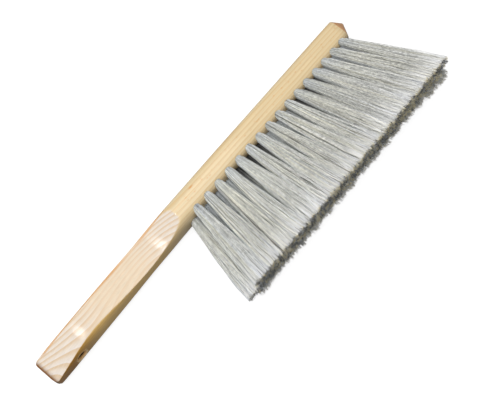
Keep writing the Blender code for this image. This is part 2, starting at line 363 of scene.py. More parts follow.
    def _streaks(self, tree: bpy.types.NodeTree, place: bpy.types.NodeSocket,
                 colour: bpy.types.NodeSocket) -> bpy.types.NodeSocket:
        """Silky streaks along the grain, coarse enough to show in a picture of the whole brush.

        Args:
            tree: The material's node tree.
            place: Object coordinates.
            colour: The colour so far.

        Returns:
            The colour with streaks.
        """
        for length, width, levels in (
                (self.streak_length, self.streak_width, self.streak_levels),
                (self.fibre_length, self.fibre_width, self.fibre_levels)):
            drawn = add_node(tree, "ShaderNodeMapping", {
                "Vector": place, "Scale": (1 / length, 1 / width, 1 / width)})
            noise = add_node(tree, "ShaderNodeTexNoise", {
                "Vector": drawn.outputs["Vector"], "Scale": 1.0, "Detail": 3.0})
            level = add_node(tree, "ShaderNodeMapRange", {
                "Value": noise.outputs["Fac"], "From Min": self.noise_reach[0],
                "From Max": self.noise_reach[1], "To Min": levels[0], "To Max": levels[1]})
            mixed = add_node(tree, "ShaderNodeVectorMath", {
                0: colour, "Scale": level.outputs["Result"]}, operation="SCALE")
            colour = mixed.outputs["Vector"]
        return colour

    def _tints(self, tree: bpy.types.NodeTree, place: bpy.types.NodeSocket,
               colour: bpy.types.NodeSocket) -> bpy.types.NodeSocket:
        """The turned block is more golden, the flats are paler, and painted warm shade darkens the
        belly.

        Args:
            tree: The material's node tree.
            place: Object coordinates.
            colour: The colour so far.

        Returns:
            The tinted colour.
        """
        away = add_node(tree, "ShaderNodeMapRange", {
            "Value": self._from_waist(tree, place), "From Min": self.pale_run[0],
            "From Max": self.pale_run[1]})
        flats = add_node(tree, "ShaderNodeMix", {
            "Factor": away.outputs["Result"], 6: linear(self.planed_tint),
            7: linear(self.pale_tint)}, data_type="RGBA")
        planed = add_node(tree, "ShaderNodeAttribute", attribute_name="planed")
        tint = add_node(tree, "ShaderNodeMix", {
            "Factor": planed.outputs["Fac"], 6: linear(self.turned_tint),
            7: flats.outputs[2]}, data_type="RGBA")
        mixed = add_node(tree, "ShaderNodeMix", {
            "Factor": 1.0, 6: colour, 7: tint.outputs[2]}, data_type="RGBA", blend_type="MULTIPLY")
        # Painted warm shade on the grip's belly, darkest towards the butt.
        gold = add_node(tree, "ShaderNodeAttribute", attribute_name="painted_belly_shade")
        belly = add_node(tree, "ShaderNodeValToRGB", {"Fac": gold.outputs["Fac"]})
        set_ramp(belly, ((0.0, "#FFFFFF"), (self.belly_share, self.belly_shade_tint),
                         (1.0, self.butt_shade_tint)))
        darkened = add_node(tree, "ShaderNodeMix", {
            "Factor": 1.0, 6: mixed.outputs[2], 7: belly.outputs["Color"]},
            data_type="RGBA", blend_type="MULTIPLY")
        return darkened.outputs[2]

    def _flecks(self, tree: bpy.types.NodeTree, place: bpy.types.NodeSocket,
                colour: bpy.types.NodeSocket) -> bpy.types.NodeSocket:
        """Short amber flecks strewn along the grain, and one larger resin mark on the block.

        Args:
            tree: The material's node tree.
            place: Object coordinates.
            colour: The colour so far.

        Returns:
            The colour with flecks.
        """
        drawn = add_node(tree, "ShaderNodeMapping", {
            "Vector": place,
            "Scale": (1 / self.fleck_length, 1 / self.fleck_width, 1 / self.fleck_width)})
        cells = add_node(tree, "ShaderNodeTexVoronoi", {
            "Vector": drawn.outputs["Vector"], "Scale": 1.0})
        spots = add_node(tree, "ShaderNodeMapRange", {
            "Value": cells.outputs["Distance"], "From Min": self.fleck_edge[0],
            "From Max": self.fleck_edge[1], "To Min": self.fleck_strength, "To Max": 0.0})
        chosen = add_node(tree, "ShaderNodeSeparateColor", {"Color": cells.outputs["Color"]})
        few = add_node(tree, "ShaderNodeMath", {
            0: chosen.outputs["Red"], 1: self.fleck_cells}, operation="GREATER_THAN")
        # Most flecks lie in a band along the middle of the block's side.
        parts = add_node(tree, "ShaderNodeSeparateXYZ", {"Vector": place})
        height = add_node(tree, "ShaderNodeMath", {0: parts.outputs["Y"]}, operation="ABSOLUTE")
        middle = add_node(tree, "ShaderNodeMapRange", {
            "Value": height.outputs["Value"], "From Min": self.fleck_band[0],
            "From Max": self.fleck_band[1], "To Min": 1.0, "To Max": self.flecks_off_band})
        planed = add_node(tree, "ShaderNodeAttribute", attribute_name="planed")
        band = add_node(tree, "ShaderNodeMapRange", {
            "Value": planed.outputs["Fac"], "To Min": middle.outputs["Result"],
            "To Max": self.flecks_on_flats})
        picked = add_node(tree, "ShaderNodeMath", {
            0: spots.outputs["Result"], 1: few.outputs["Value"]}, operation="MULTIPLY")
        some = add_node(tree, "ShaderNodeMath", {
            0: picked.outputs["Value"], 1: band.outputs["Result"]}, operation="MULTIPLY")
        about_mark = add_node(tree, "ShaderNodeMapping", {
            "Vector": place, "Location": self.resin_mark, "Scale": self.resin_mark_size},
            vector_type="TEXTURE")
        distance = add_node(tree, "ShaderNodeVectorMath", {
            0: about_mark.outputs["Vector"]}, operation="LENGTH")
        mark = add_node(tree, "ShaderNodeMapRange", {
            "Value": distance.outputs["Value"], "From Min": self.resin_mark_edge[0],
            "From Max": self.resin_mark_edge[1], "To Min": self.resin_mark_strength,
            "To Max": 0.0})
        both = add_node(tree, "ShaderNodeMath", {
            0: some.outputs["Value"], 1: mark.outputs["Result"]}, operation="MAXIMUM")
        mixed = add_node(tree, "ShaderNodeMix", {
            "Factor": both.outputs["Value"], 6: colour, 7: linear(self.fleck)}, data_type="RGBA")
        return mixed.outputs[2]

    def _end_grain(self, tree: bpy.types.NodeTree,
                   colour: bpy.types.NodeSocket) -> bpy.types.NodeSocket:
        """Nose, butt and bores are cut across the fibres, drink the lacquer and are darker.

        Args:
            tree: The material's node tree.
            colour: The colour so far.

        Returns:
            The finished colour.
        """
        # The butt's colour also carries painted shade, the bore's wall painted light and its depth
        # painted shadow.
        for name, tone in (("nose_grain", self.nose_grain), ("butt_grain_shade", self.butt_grain_shade),
                           ("bore_lit_wall", self.bore_lit_wall), ("bore_shadow", self.bore_shadow)):
            end = add_node(tree, "ShaderNodeAttribute", attribute_name=name)
            mixed = add_node(tree, "ShaderNodeMix", {
                "Factor": end.outputs["Fac"], 6: colour, 7: linear(tone)}, data_type="RGBA")
            colour = mixed.outputs[2]
        return colour

    def _relief(self, tree: bpy.types.NodeTree, place: bpy.types.NodeSocket,
                shader: bpy.types.Node) -> None:
        """Faint raised fibres under the lacquer.

        Args:
            tree: The material's node tree.
            place: Object coordinates.
            shader: The material's shader.
        """
        drawn = add_node(tree, "ShaderNodeMapping", {
            "Vector": place,
            "Scale": (1 / self.fibre_length, 1 / self.fibre_width, 1 / self.fibre_width)})
        noise = add_node(tree, "ShaderNodeTexNoise", {
            "Vector": drawn.outputs["Vector"], "Scale": 1.0, "Detail": 2.0})
        bump = add_node(tree, "ShaderNodeBump", {
            "Height": noise.outputs["Fac"], "Strength": self.relief_strength,
            "Distance": self.relief_height})
        tree.links.new(bump.outputs["Normal"], shader.inputs["Normal"])


@dataclass(frozen=True)
class PolyesterBristle:
    """Drawn and crimped polyester filament, trimmed with shears.

    The eye sees a satin warm grey that is cooler at the roots, paler near the trim, and broken by
    painted light and dark dashes where the crimp bends. Painted cool shade greys the strands deep
    in the tufts and the inner rows, painted shade darkens the gaps between tufts near the wood, and
    many cut ends are painted dark as shade between the tips. Its colours and levels are high, and
    together pass 1 in the lightest dashes and at the tips, because so many strands shade each
    other. The crimp's and the nose's runs are metres along the bar, and the tip's is a share of a
    strand's length.
    """

    name: str = "crimped_polyester_bristle"
    root: str = "#E9ECEC"
    middle: str = "#FAFAF4"
    upper: str = "#FCFCF8"
    tip: str = "#FFFFFF"
    # Painted cool shade on strands deep in the tufts and on the inner rows.
    inner_shade_tint: str = "#EEF2F8"
    cool_tint: str = "#FBFCFF"
    warm_tint: str = "#FFFDF3"
    # Cut ends painted dark as the shade between the tips.
    end_shade: str = "#1E1600"
    bright_end: str = "#FFF2C4"
    odd_strand: str = "#7A6E58"
    odd_share: tuple[float, float] = (0.04, 0.07)
    odd_strength: float = 0.85
    # Painted shade between the tufts near the wood.
    gap_shade: str = "#2A2620"
    # Painted light and shade of the crimp's bends, as long and short dashes.
    streak_length: float = 9 * MM
    crimp_length: float = 2.0 * MM
    strand_length: float = 71 * MM
    clump_spacing: float = 90.0
    crimp_run: tuple[float, float] = (0.0, 0.13)
    crimp_share: tuple[float, float] = (0.50, 0.85)
    streak_reach: tuple[float, float] = (0.34, 0.62)
    streak_levels: tuple[float, float] = (0.66, 1.15)
    strand_levels: tuple[float, float] = (0.80, 1.10)
    nose_run: tuple[float, float] = (0.06, 0.15)
    nose_level: float = 0.91
    tip_run: tuple[float, float] = (0.70, 0.95)
    tip_fade: float = 0.9
    tip_level: float = 1.08
    roughness: float = 0.42

    def make(self) -> bpy.types.Material:
        """Builds the material.

        Returns:
            A Principled material that reads each strand's own tone, length and depth.
        """
        material = bpy.data.materials.new(self.name)
        material.use_nodes = True
        tree = material.node_tree
        shader = tree.nodes["Principled BSDF"]
        strand = add_node(tree, "ShaderNodeAttribute", attribute_name="strand")
        parts = add_node(tree, "ShaderNodeSeparateColor", {"Color": strand.outputs["Color"]})
        clump, along, depth = (parts.outputs[name] for name in ("Red", "Green", "Blue"))
        own = strand.outputs["Alpha"]
        ramp = add_node(tree, "ShaderNodeValToRGB", {"Fac": along})
        set_ramp(ramp, ((0.0, self.root), (0.22, self.middle), (0.70, self.upper),
                        (0.95, self.tip)))
        # Painted cool shade on strands deep in the tufts and on the inner rows.
        cooled = add_node(tree, "ShaderNodeMix", {
            "Factor": depth, 6: ramp.outputs["Color"], 7: linear(self.inner_shade_tint)},
            data_type="RGBA", blend_type="MULTIPLY")
        hue = add_node(tree, "ShaderNodeMix", {
            "Factor": clump, 6: linear(self.cool_tint), 7: linear(self.warm_tint)},
            data_type="RGBA")
        toned = add_node(tree, "ShaderNodeMix", {
            "Factor": 1.0, 6: cooled.outputs[2], 7: hue.outputs[2]}, data_type="RGBA",
            blend_type="MULTIPLY")
        odd = add_node(tree, "ShaderNodeMapRange", {
            "Value": own, "From Min": self.odd_share[0], "From Max": self.odd_share[1],
            "To Min": self.odd_strength, "To Max": 0.0})
        mixed = add_node(tree, "ShaderNodeMix", {
            "Factor": odd.outputs["Result"], 6: toned.outputs[2], 7: linear(self.odd_strand)},
            data_type="RGBA")
        level = self._streaks(tree, clump, own, along)
        streaked = add_node(tree, "ShaderNodeVectorMath", {
            0: mixed.outputs[2], "Scale": level}, operation="SCALE")
        # Painted shade in the gaps between tufts and on their flanks, near the wood.
        gloom = add_node(tree, "ShaderNodeAttribute", attribute_name="gloom")
        shaded = add_node(tree, "ShaderNodeMix", {
            "Factor": gloom.outputs["Fac"], 6: streaked.outputs["Vector"],
            7: linear(self.gap_shade)}, data_type="RGBA")
        # Cut ends, many painted dark as the shade between the tips.
        end_tone = add_node(tree, "ShaderNodeAttribute", attribute_name="end_tone")
        end = add_node(tree, "ShaderNodeMix", {
            "Factor": end_tone.outputs["Fac"], 6: linear(self.bright_end),
            7: linear(self.end_shade)}, data_type="RGBA")
        cut = add_node(tree, "ShaderNodeAttribute", attribute_name="cut_end")
        ended = add_node(tree, "ShaderNodeMix", {
            "Factor": cut.outputs["Fac"], 6: shaded.outputs[2], 7: end.outputs[2]},
            data_type="RGBA")
        tree.links.new(ended.outputs[2], shader.inputs["Base Color"])
        shader.inputs["Roughness"].default_value = self.roughness
        shader.inputs["IOR"].default_value = 1.55
        return material

    def _streaks(self, tree: bpy.types.NodeTree, clump: bpy.types.NodeSocket,
                 own: bpy.types.NodeSocket, along: bpy.types.NodeSocket) -> bpy.types.NodeSocket:
        """Painted light and shade of the crimp's bends, in dashes down each clump, long mixed with
        short, mostly short at the nose.

        Args:
            tree: The material's node tree.
            clump: The random number of the strand's clump.
            own: The strand's own random number.
            along: Share of the strand's length.

        Returns:
            How much the colour is scaled.
        """
        apart = add_node(tree, "ShaderNodeMath", {0: clump, 1: self.clump_spacing},
                         operation="MULTIPLY")
        waves = []
        for length in (self.streak_length, self.crimp_length):
            run = add_node(tree, "ShaderNodeMath", {
                0: along, 1: self.strand_length / length}, operation="MULTIPLY")
            joined = add_node(tree, "ShaderNodeCombineXYZ", {
                "X": run.outputs["Value"], "Y": apart.outputs["Value"]})
            waves.append(add_node(tree, "ShaderNodeTexNoise", {
                "Vector": joined.outputs["Vector"], "Scale": 1.0, "Detail": 1.0}))
        place = add_node(tree, "ShaderNodeTexCoord").outputs["Object"]
        parts = add_node(tree, "ShaderNodeSeparateXYZ", {"Vector": place})
        share = add_node(tree, "ShaderNodeMapRange", {
            "Value": parts.outputs["X"], "From Min": self.crimp_run[0],
            "From Max": self.crimp_run[1], "To Min": self.crimp_share[0],
            "To Max": self.crimp_share[1]})
        wave = add_node(tree, "ShaderNodeMix", {
            "Factor": share.outputs["Result"], 2: waves[0].outputs["Fac"],
            3: waves[1].outputs["Fac"]}, data_type="FLOAT")
        level = add_node(tree, "ShaderNodeMapRange", {
            "Value": wave.outputs[0], "From Min": self.streak_reach[0],
            "From Max": self.streak_reach[1], "To Min": self.streak_levels[0],
            "To Max": self.streak_levels[1]})
        single = add_node(tree, "ShaderNodeMapRange", {
            "Value": own, "To Min": self.strand_levels[0], "To Max": self.strand_levels[1]})
        nose = add_node(tree, "ShaderNodeMapRange", {
            "Value": parts.outputs["X"], "From Min": self.nose_run[0],
            "From Max": self.nose_run[1], "To Min": 1.0, "To Max": self.nose_level})
        dimmed = add_node(tree, "ShaderNodeMath", {
            0: level.outputs["Result"], 1: nose.outputs["Result"]}, operation="MULTIPLY")
        both = add_node(tree, "ShaderNodeMath", {
            0: dimmed.outputs["Value"], 1: single.outputs["Result"]}, operation="MULTIPLY")
        near_tip = add_node(tree, "ShaderNodeMapRange", {
            "Value": along, "From Min": self.tip_run[0], "From Max": self.tip_run[1],
            "To Max": self.tip_fade})
        faded = add_node(tree, "ShaderNodeMix", {
            "Factor": near_tip.outputs["Result"], 2: both.outputs["Value"], 3: self.tip_level},
            data_type="FLOAT")
        return faded.outputs[0]


@dataclass
class BarShape:
    """The long curves of the one-piece bar. Stations are measured from the butt, in metres."""

    length: float = 0.3234
    nose_length: float = 0.0066
    nose_tip_rise: float = 0.0016
    butt_dome: float = 0.0018
    butt_edge: float = 0.0012
    butt_share: float = 0.66
    grip_length: float = 0.1415
    scoop_length: float = 0.0405
    scoop_curve: float = 1.8
    palm_from_butt: float = 0.044
    land_length: float = 0.0485
    half_height: float = 0.0105
    back_height_nose: float = 0.0089
    belly_height_nose: float = 0.0098
    half_width: float = 0.0123
    nose_half_width: float = 0.0089
    fullness: float = 3.2
    grip_swell: float = 0.0007
    grip_droop: float = 0.0026
    grip_droop_curve: float = 1.2
    flat_depth_butt: float = 0.0079
    flat_depth_palm: float = 0.0022
    flat_depth_neck: float = 0.0067
    arris_radius: float = 0.0006
    butt_rings: tuple[float, ...] = (0.0, 0.03, 0.08, 0.16, 0.27, 0.42, 0.62, 0.82)
    tongue_length: float = 0.022
    scoop_margin: float = 0.001
    nose_margin: float = 0.0009
    grip_rings: int = 110
    tongue_rings: int = 46
    block_rings: int = 48
    nose_rings: tuple[tuple[float, float], ...] = (
        (0.0, 0.996), (0.035, 0.984), (0.08, 0.955), (0.2, 0.84), (0.35, 0.70), (0.5, 0.56),
        (0.7, 0.37), (0.85, 0.225), (0.94, 0.15), (1.0, 0.085))

    @property
    def neck_from_butt(self) -> float:
        """Where the grip is thinnest and the scoop starts."""
        return self.grip_length - self.scoop_length

    def along(self, station: Any) -> Any:
        """X of a station; the origin is the middle of the block's flat land."""
        return station - self.grip_length - self.land_length / 2

    def station_at(self, x: Any) -> Any:
        """Station of an X, the other way round from along."""
        return x + self.grip_length + self.land_length / 2

    def side_height(self, station: Any, height_nose: float, droop_sign: int) -> Any:
        """Distance of the back or of the belly from the bar's axis.

        Args:
            station: Place along the bar.
            height_nose: The distance at the nose end.
            droop_sign: 1 for the belly and -1 for the back.

        Returns:
            The distance in metres.
        """
        taper = np.clip((station - self.grip_length) / (self.length - self.grip_length), 0, 1)
        grip = np.clip(1 - station / self.grip_length, 0, 1)
        droop = droop_sign * self.grip_droop * grip ** self.grip_droop_curve
        return blend(self.half_height, height_nose, taper) + self.grip_swell * grip + droop

    def back(self, station: Any) -> Any:
        """Height of the back over the axis."""
        return self.side_height(station, self.back_height_nose, -1)

    def belly(self, station: Any) -> Any:
        """Depth of the belly under the axis."""
        return self.side_height(station, self.belly_height_nose, 1)

    def width(self, station: Any) -> Any:
        """Half width before the flats are planed."""
        start = self.grip_length + self.land_length
        share = np.clip((station - start) / (self.length - start), 0, 1)
        return blend(self.half_width, self.nose_half_width, share)

    def flat_depth(self, station: Any) -> Any:
        """Depth of the planed flats under the widest line of the bar."""
        station = np.maximum(np.asarray(station, float), 0.0)
        butt = 1 - np.clip(station / self.palm_from_butt, 0, 1)
        waist = (station - self.palm_from_butt) / (self.neck_from_butt - self.palm_from_butt)
        scoop = np.clip((station - self.neck_from_butt) / self.scoop_length, 0, 1)
        before_palm = blend(self.flat_depth_palm, self.flat_depth_butt, butt ** 2)
        before_neck = blend(self.flat_depth_palm, self.flat_depth_neck, smooth_step(waist))
        after_neck = self.flat_depth_neck * (1 - scoop ** self.scoop_curve)
        depth = np.where(station < self.palm_from_butt, before_palm, before_neck)
        return np.where(station > self.neck_from_butt, after_neck, depth)

    def stations(self) -> list[tuple[float, float, float]]:
        """Rings of the bar, close together where its form turns.

        Returns:
            Place along the bar, share of the full section and rise of its middle, for each ring.
        """
        rings = []
        run = self.butt_dome + self.butt_edge
        for part in self.butt_rings:
            dome = math.sqrt(1 - (1 - part) ** 2)
            rings.append((-self.butt_dome + run * part, blend(self.butt_share, 1.0, dome), 0.0))
        tongue = self.grip_length - self.tongue_length
        scoop_end = self.grip_length + self.scoop_margin
        plain = np.concatenate([
            np.linspace(self.butt_edge, tongue, self.grip_rings, endpoint=False),
            np.linspace(tongue, scoop_end, self.tongue_rings, endpoint=False),
            np.linspace(scoop_end, self.length - self.nose_margin, self.block_rings)])
        rings += [(float(station), 1.0, 0.0) for station in plain]
        for part, share in self.nose_rings:
            rings.append((self.length + self.nose_length * part, share,
                          self.nose_tip_rise * (1 - share)))
        return rings


class Row(Enum):
    """The three rows of tufts, as their side of the bar's middle plane."""

    NEAR = 1
    MIDDLE = 0
    FAR = -1


@dataclass
class TuftPlan:
    """Where the three rows of tufts are drilled, and how they fan out."""

    bar: BarShape
    hole_diameter: float = 0.0065
    hole_fullness: float = 2.8
    hole_depth: float = 0.0085
    splay: float = math.radians(2.0)
    row_edge_distance: float = 0.0043
    row_tufts: int = 16
    first_from_grip: float = 0.0130
    last_from_end: float = 0.0064
    crowding: float = 0.088
    middle_row_lead: float = 0.0013
    bristle_length: float = 0.0706
    fan_handle_end: float = math.radians(-10.0)
    fan_nose_end: float = math.radians(19.0)
    tip_row_spacing: float = 0.01183

    @property
    def trim_height(self) -> float:
        """Distance of the trimmed face from the bar's axis."""
        return self.bar.half_height + self.bristle_length

    def even_station(self, index: float) -> float:
        """Place of an outer-row hole; a half index is a middle-row hole."""
        first = self.bar.grip_length + self.first_from_grip
        row_length = self.bar.length - self.last_from_end - first
        share = index / (self.row_tufts - 1)
        return first + row_length * share * (1 + self.crowding * (1 - share))

    def station(self, row: int, rank: int) -> float:
        """Place of a hole along the bar.

        Args:
            row: 1 for the near row, 0 for the middle one and -1 for the far one.
            rank: Count along the row, from 0 at the handle.

        Returns:
            Distance from the butt in metres.
        """
        if row != 0:
            return self.even_station(rank)
        lead = self.middle_row_lead if rank == 0 else 0.0
        return self.even_station(rank - 0.5) - lead

    def fan_angle(self, station: float) -> float:
        """Lean of a tuft along the bar."""
        first = self.even_station(-0.5) - self.middle_row_lead
        last = self.even_station(self.row_tufts - 1)
        return blend(self.fan_handle_end, self.fan_nose_end, (station - first) / (last - first))

    def tip_x(self, station: float) -> float:
        """X of the middle of a tuft's trimmed end."""
        run = self.trim_height - float(self.bar.belly(station))
        return self.bar.along(station) + run * math.tan(self.fan_angle(station))

    def mouth(self, row: int, station: float) -> Vector:
        """Middle of a hole's mouth on the belly."""
        offset = row * (float(self.bar.width(station)) - self.row_edge_distance)
        share = min(abs(offset) / float(self.bar.width(station)), 1.0)
        drop = (1 - share ** self.bar.fullness) ** (1 / self.bar.fullness)
        return Vector((self.bar.along(station), -float(self.bar.belly(station)) * drop,
                       self.bar.half_width + offset))

    def mouth_swell(self, angle: Any, row: int) -> Any:
        """How far an outer hole's mouth bulges past a circle, as fitted to the picture.

        Args:
            angle: Direction from the hole's middle, from X towards Z.
            row: 1 for the near row, 0 for the middle one and -1 for the far one.

        Returns:
            The mouth's reach in that direction, as a share of the round hole's radius.
        """
        on_outer_side = np.sin(angle) * row > 0.01
        power = np.where(on_outer_side, self.hole_fullness, 2.0)
        return (np.abs(np.cos(angle)) ** power + np.abs(np.sin(angle)) ** power) ** (-1 / power)

    def slope(self, row: int, station: float) -> tuple[float, float]:
        """Change of X and of Z for each metre that a hole runs out of the bar."""
        return math.tan(self.fan_angle(station)), row * math.tan(self.splay)


@dataclass(frozen=True)
class SurfaceMarks:
    """Where the marks that the pine reads start, and the run over which each fades.

    Stations, margins and runs along the bar are in metres. Ring, shoulder and belly levels are
    shares of the bar's half height or half width.
    """

    blur: float = 0.0002
    # The bore marks: painted light on the hang hole's wall, and painted shadow from a depth on.
    bore_margin: float = 0.1 * MM
    bore_strength: float = 0.9
    bore_fade: float = 0.6 * MM
    rim_margin: float = 0.3 * MM
    # Where the butt's end grain and its painted shade start and fade.
    butt_start: float = 0.3 * MM
    butt_fade: float = 0.5 * MM
    # Where the painted shade along the back edge starts and fades, how strong it is, and from which
    # share of the width (shoulder) it runs.
    ring_levels: tuple[float, float] = (0.70, 0.85)
    ring_shift: float = 0.128
    ring_shift_run: float = 0.02
    ring_run: float = 0.11
    ring_strength: float = 0.85
    shoulder: float = 0.40
    shoulder_run: float = 0.15
    # Where the painted belly shade starts and fades, down the belly and along the grip.
    belly: float = 0.3
    belly_run: float = 0.3
    belly_end: float = 0.108
    belly_end_run: float = 0.035
    # Where the painted belly shade deepens towards the butt.
    gold_end: float = 0.014
    gold_end_run: float = 0.040


@dataclass
class HandleBlock:
    """Handle and brush block, turned and planed out of one piece of pine."""

    bar: BarShape
    plan: TuftPlan
    finish: LacqueredPine
    ring_points: int = 120
    hang_hole_diameter: float = 0.0082
    hang_hole_rim: float = 0.0104
    hang_hole_from_butt: float = 0.0242
    hang_hole_sides: int = 48
    bore_levels: tuple[float, ...] = (1.9 * MM, 2.5 * MM, 3.4 * MM)
    drill_sides: int = 20
    drill_overshoot: float = 0.002
    rub_reach: float = 2.2
    rub_from_butt: float = 0.003
    rub_from_block: float = 0.001
    rub_strength: float = 0.4
    rub_passes: int = 2
    smooth_angle: float = math.radians(48)
    marks: SurfaceMarks = SurfaceMarks()
    node: str = "handle_block"

    def build(self) -> bpy.types.Object:
        """Turns, planes and drills the bar.

        Returns:
            The finished bar, riding on the brush and standing for its CAD solid.
        """
        bar = self._turned_blank()
        self._soften_arrises(bar)
        carve(bar, self._hang_hole_cutter())
        carve(bar, self._drill())
        self._mark_surfaces(bar)
        make_active(bar)
        bpy.ops.object.shade_smooth_by_angle(angle=self.smooth_angle)
        self.dress(bar)
        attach(bar, BODY)
        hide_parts(self.node)
        return bar

    def dress(self, bar: bpy.types.Object) -> None:
        """Gives the bar its lacquered pine."""
        bar.data.materials.clear()
        bar.data.materials.append(self.finish.make())

    def _turned_blank(self) -> bpy.types.Object:
        """A rod with a loop at each station, each loop drawn to the bar's section there."""
        rings = self.bar.stations()
        span = self.bar.length + self.bar.nose_length + self.bar.butt_dome
        bar = new_primitive(
            bpy.ops.mesh.primitive_cylinder_add, "pine_handle_block", vertices=self.ring_points,
            radius=self.bar.half_width, depth=span, end_fill_type="NGON",
            rotation=(0.0, math.pi / 2, 0.0), location=(span / 2, 0.0, 0.0))
        settle(bar)
        bpy.ops.object.mode_set(mode="EDIT")
        pick_edges(bar, lambda edge: abs(edge.verts[0].co.x - edge.verts[1].co.x) > span / 2)
        bpy.ops.mesh.subdivide(number_cuts=len(rings) - 2)
        bpy.ops.object.mode_set(mode="OBJECT")
        self._draw_sections(bar, np.array(rings), span)
        return bar

    def _draw_sections(self, bar: bpy.types.Object, rings: np.ndarray, span: float) -> None:
        """Moves each loop to its station and each point to the section's outline.

        Args:
            bar: The rod, with its butt at X = 0 and its axis on X.
            rings: Station, share of the section and rise, for each loop.
            span: Length of the rod.
        """
        points = read_points(bar)
        loop = np.rint(points[:, 0] / span * (len(rings) - 1)).astype(int)
        station, share, rise = rings[loop].T
        angle = np.arctan2(points[:, 1], points[:, 2])
        power = 2 / self.bar.fullness
        side = np.abs(np.cos(angle)) ** power * np.sign(np.cos(angle))
        up = np.abs(np.sin(angle)) ** power * np.sign(np.sin(angle))
        inside = np.clip(station, 0.0, self.bar.length)
        height = np.where(up > 0, self.bar.back(inside), self.bar.belly(inside))
        turned = self.bar.width(inside) * np.abs(side) * share
        depth = self.bar.flat_depth(inside)
        flat = self.bar.half_width - depth
        # The arris between flat and turned side is rounded over this width, and never over none.
        edge = np.maximum(np.minimum(self.bar.arris_radius, 2 * depth), 1e-9)
        mix = np.clip(0.5 + 0.5 * (turned - flat) / edge, 0, 1)
        planed = blend(turned, flat, mix) - edge * mix * (1 - mix)
        points[:, 0] = self.bar.along(station)
        points[:, 1] = height * up * share + rise
        points[:, 2] = self.bar.half_width + np.where(depth > 0, planed, turned) * np.sign(side)
        bar.data.vertices.foreach_set("co", points.ravel())
        bar.data.update()

    def _soften_arrises(self, bar: bpy.types.Object) -> None:
        """Rubs down the edges between the flats and the turned back and belly."""
        make_active(bar)
        bpy.ops.object.mode_set(mode="EDIT")
        reach = self.rub_reach * self.bar.arris_radius

        def on_arris(place: Vector) -> bool:
            """Says whether a place lies on an arris of the grip."""
            station = self.bar.station_at(place.x)
            if not self.rub_from_butt < station < self.bar.grip_length - self.rub_from_block:
                return False
            flat = self.bar.half_width - float(self.bar.flat_depth(station))
            return abs(abs(place.z - self.bar.half_width) - flat) < reach

        pick_points(bar, on_arris)
        bpy.ops.mesh.vertices_smooth(factor=self.rub_strength, repeat=self.rub_passes)
        bpy.ops.object.mode_set(mode="OBJECT")

    def _hang_hole_cutter(self) -> bpy.types.Object:
        """A drill with a countersink at both ends, standing where the hang hole goes."""
        station = self.hang_hole_from_butt
        radius, rim = self.hang_hole_diameter / 2, self.hang_hole_rim / 2
        chamfer = rim - radius
        top, bottom = float(self.bar.back(station)), -float(self.bar.belly(station))
        low, high = bottom - chamfer, top + chamfer
        drill = new_primitive(
            bpy.ops.mesh.primitive_cylinder_add, "hang_hole_drill", vertices=self.hang_hole_sides,
            radius=radius, depth=high - low, rotation=(math.pi / 2, 0.0, 0.0),
            location=(self.bar.along(station), (high + low) / 2, self.bar.half_width))
        settle(drill)
        centre = (self.bar.along(station), 0.0, self.bar.half_width)
        bpy.ops.object.mode_set(mode="EDIT")
        pick_edges(drill, lambda edge: abs(edge.verts[0].co.y - edge.verts[1].co.y) > radius)
        depths = (chamfer, *self.bore_levels)
        levels = [bottom + depth for depth in depths] + [top - depth for depth in depths[::-1]]
        bpy.ops.mesh.subdivide(number_cuts=len(levels))
        step = (high - low) / (len(levels) + 1)
        moves = [(low + step * (rank + 1), wanted) for rank, wanted in enumerate(levels)]
        # Each loop is picked by its place, so no wanted place may lie on a loop not yet moved.
        for now, wanted in moves[::-1]:
            pick_points(drill, lambda place, now=now: abs(place.y - now) < step / 20)
            bpy.ops.transform.translate(value=(0.0, wanted - now, 0.0))
        for end in (low, high):
            pick_points(drill, lambda place, end=end: abs(place.y - end) < chamfer / 2)
            grow = (rim + chamfer) / radius
            bpy.ops.transform.resize(value=(grow, 1.0, grow), center_override=centre)
        bpy.ops.object.mode_set(mode="OBJECT")
        return drill

    def _drill(self) -> bpy.types.Object:
        """One drill bit, copied to each tuft hole and slanted with its tuft."""
        reach = self.plan.hole_depth + self.drill_overshoot
        bit = new_primitive(
            bpy.ops.mesh.primitive_cylinder_add, "tuft_drill", vertices=self.drill_sides,
            radius=self.plan.hole_diameter / 2, depth=reach, rotation=(math.pi / 2, 0.0, 0.0),
            location=(0.0, -reach / 2, 0.0))
        settle(bit)
        bits = [self._placed_bit(bit, row, rank)
                for row in Row for rank in range(self.plan.row_tufts)]
        make_active(bit)
        bpy.data.objects.remove(bit, do_unlink=True)
        for copy in bits:
            copy.select_set(True)
        bpy.context.view_layer.objects.active = bits[0]
        bpy.ops.object.join()
        return bits[0]

    def _placed_bit(self, bit: bpy.types.Object, row: Row, rank: int) -> bpy.types.Object:
        """Copies the drill bit to one tuft hole.

        Args:
            bit: The bit, with its tip at the origin and its shank along -Y.
            row: The row that the hole is in.
            rank: Count along the row, from 0 at the handle.

        Returns:
            The copy, widened on the row's outer side and slanted with the tuft.
        """
        station = self.plan.station(row.value, rank)
        mouth = self.plan.mouth(row.value, station)
        lean, splay = self.plan.slope(row.value, station)
        floor = self.plan.hole_depth - float(self.bar.belly(station))
        copy = bit.copy()
        copy.data = bit.data.copy()
        for point in copy.data.vertices:
            swell = self.plan.mouth_swell(math.atan2(point.co.z, point.co.x), row.value)
            point.co.x, point.co.z = point.co.x * swell, point.co.z * swell
        bpy.context.scene.collection.objects.link(copy)
        slant = Matrix(((1, -lean, 0, 0), (0, 1, 0, 0), (0, -splay, 1, 0), (0, 0, 0, 1)))
        run = floor - mouth.y
        top = Vector((mouth.x - lean * run, floor, mouth.z - splay * run))
        copy.data.transform(Matrix.Translation(top) @ slant)
        return copy

